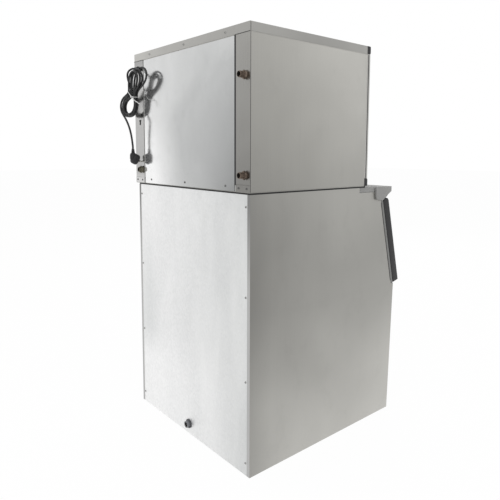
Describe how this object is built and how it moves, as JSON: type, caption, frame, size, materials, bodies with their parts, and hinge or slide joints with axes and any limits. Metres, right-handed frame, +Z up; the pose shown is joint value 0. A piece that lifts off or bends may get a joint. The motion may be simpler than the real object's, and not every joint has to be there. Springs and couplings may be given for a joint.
{
  "type": "flake ice machine",
  "caption": "Floor-standing flake ice machine: a steel ice-making head with a vertical auger freezer on an insulated bin with a sloped lift-up door",
  "frame": {"origin": "middle of the bin's base on the floor", "axes": "+Z up, front with the door faces -Y, +X to the right seen from the front"},
  "size_m": [0.822, 0.8988, 1.503],
  "materials": {
    "steel": "brushed stainless sheet",
    "polished": "bright smooth stainless sheet",
    "galvanised": "bright zinc-coated sheet with fine spangle",
    "black_plastic": "black moulded plastic",
    "grey_plastic": "mid-grey moulded plastic",
    "white_plastic": "white moulded food-grade plastic",
    "foam": "cut rigid foam",
    "black_rubber": "black rubber",
    "zinc": "zinc-plated steel",
    "brass": "dull brown brass",
    "copper": "drawn copper tube",
    "black_metal": "black enamel",
    "grey_metal": "grey enamel on cast metal",
    "aluminium": "cast aluminium",
    "red_plastic": "red moulded plastic",
    "orange_plastic": "orange foam plastic",
    "grey_rubber": "grey hose rubber"
  },
  "bodies": {
    "cabinet": {"bin_side_left": "steel", "bin_side_right": "steel", "bin_back_panel": "galvanised", "bin_front_panel": "steel", "bin_base_plate": "zinc", "front_header": "foam", "bin_liner": "white_plastic", "insulation_boards": "foam", "door_frame": "grey_plastic", "front_canopy": "grey_plastic", "hinge_rail": "black_plastic", "hinge_pins": "zinc", "drain_spout": "black_plastic", "drain_strainer": "white_plastic", "bin_screws": "zinc", "head_gasket": "black_rubber", "base_tray": "zinc", "side_panel_left": "steel", "side_panel_right": "steel", "corner_post_left": "steel", "corner_post_right": "steel", "back_panel": "polished", "back_panel_seals": "black_rubber", "top_lid": "steel", "front_panel": "steel", "front_trims": "black_plastic", "head_screws": "zinc", "water_inlet_fitting": "brass", "condenser_inlet_fitting": "brass", "condenser_outlet_fitting": "brass", "switch_housing": "black_plastic", "gearbox": "grey_metal", "drive_motor": "grey_metal", "seal_housing": "aluminium", "evaporator_barrel": "zinc", "barrel_insulation": "black_rubber", "ice_head": "aluminium", "ice_chute": "white_plastic", "water_tank": "white_plastic", "tank_bracket": "zinc", "float_valve": "brass", "compressor": "black_metal", "compressor_feet": "black_rubber", "condenser_coil": "copper", "filter_drier": "copper", "refrigerant_lines": "copper", "water_lines": "grey_rubber", "control_box": "grey_metal", "cable_gland": "black_plastic", "power_cord": "black_rubber", "cord_hank": "black_rubber", "plug": "black_rubber"},
    "door": {"door_panel": "black_plastic", "door_inner_panel": "white_plastic", "door_seal": "black_rubber"},
    "auger": {"auger_shaft": "zinc", "auger_flight": "zinc"},
    "float": {"float_arm": "orange_plastic"},
    "switch": {"switch_rocker": "red_plastic"}
  },
  "joints": [
    {"name": "door_hinge", "type": "hinge", "parent": "cabinet", "child": "door", "pos_m": [0, -0.34398, 0.899], "axis": [-1, 0, 0], "range_deg": [0, 95]},
    {"name": "auger_turn", "type": "hinge", "parent": "cabinet", "child": "auger", "pos_m": [0, 0.05, 1.1735], "axis": [0, 0, 1], "continuous": true},
    {"name": "float_swing", "type": "hinge", "parent": "cabinet", "child": "float", "pos_m": [0.246, -0.09, 1.2935], "axis": [0, 1, 0], "range_deg": [0, 20]},
    {"name": "switch_rock", "type": "hinge", "parent": "cabinet", "child": "switch", "pos_m": [-0.29, -0.197, 1.418], "axis": [1, 0, 0], "range_deg": [-16, 0]}
  ]
}
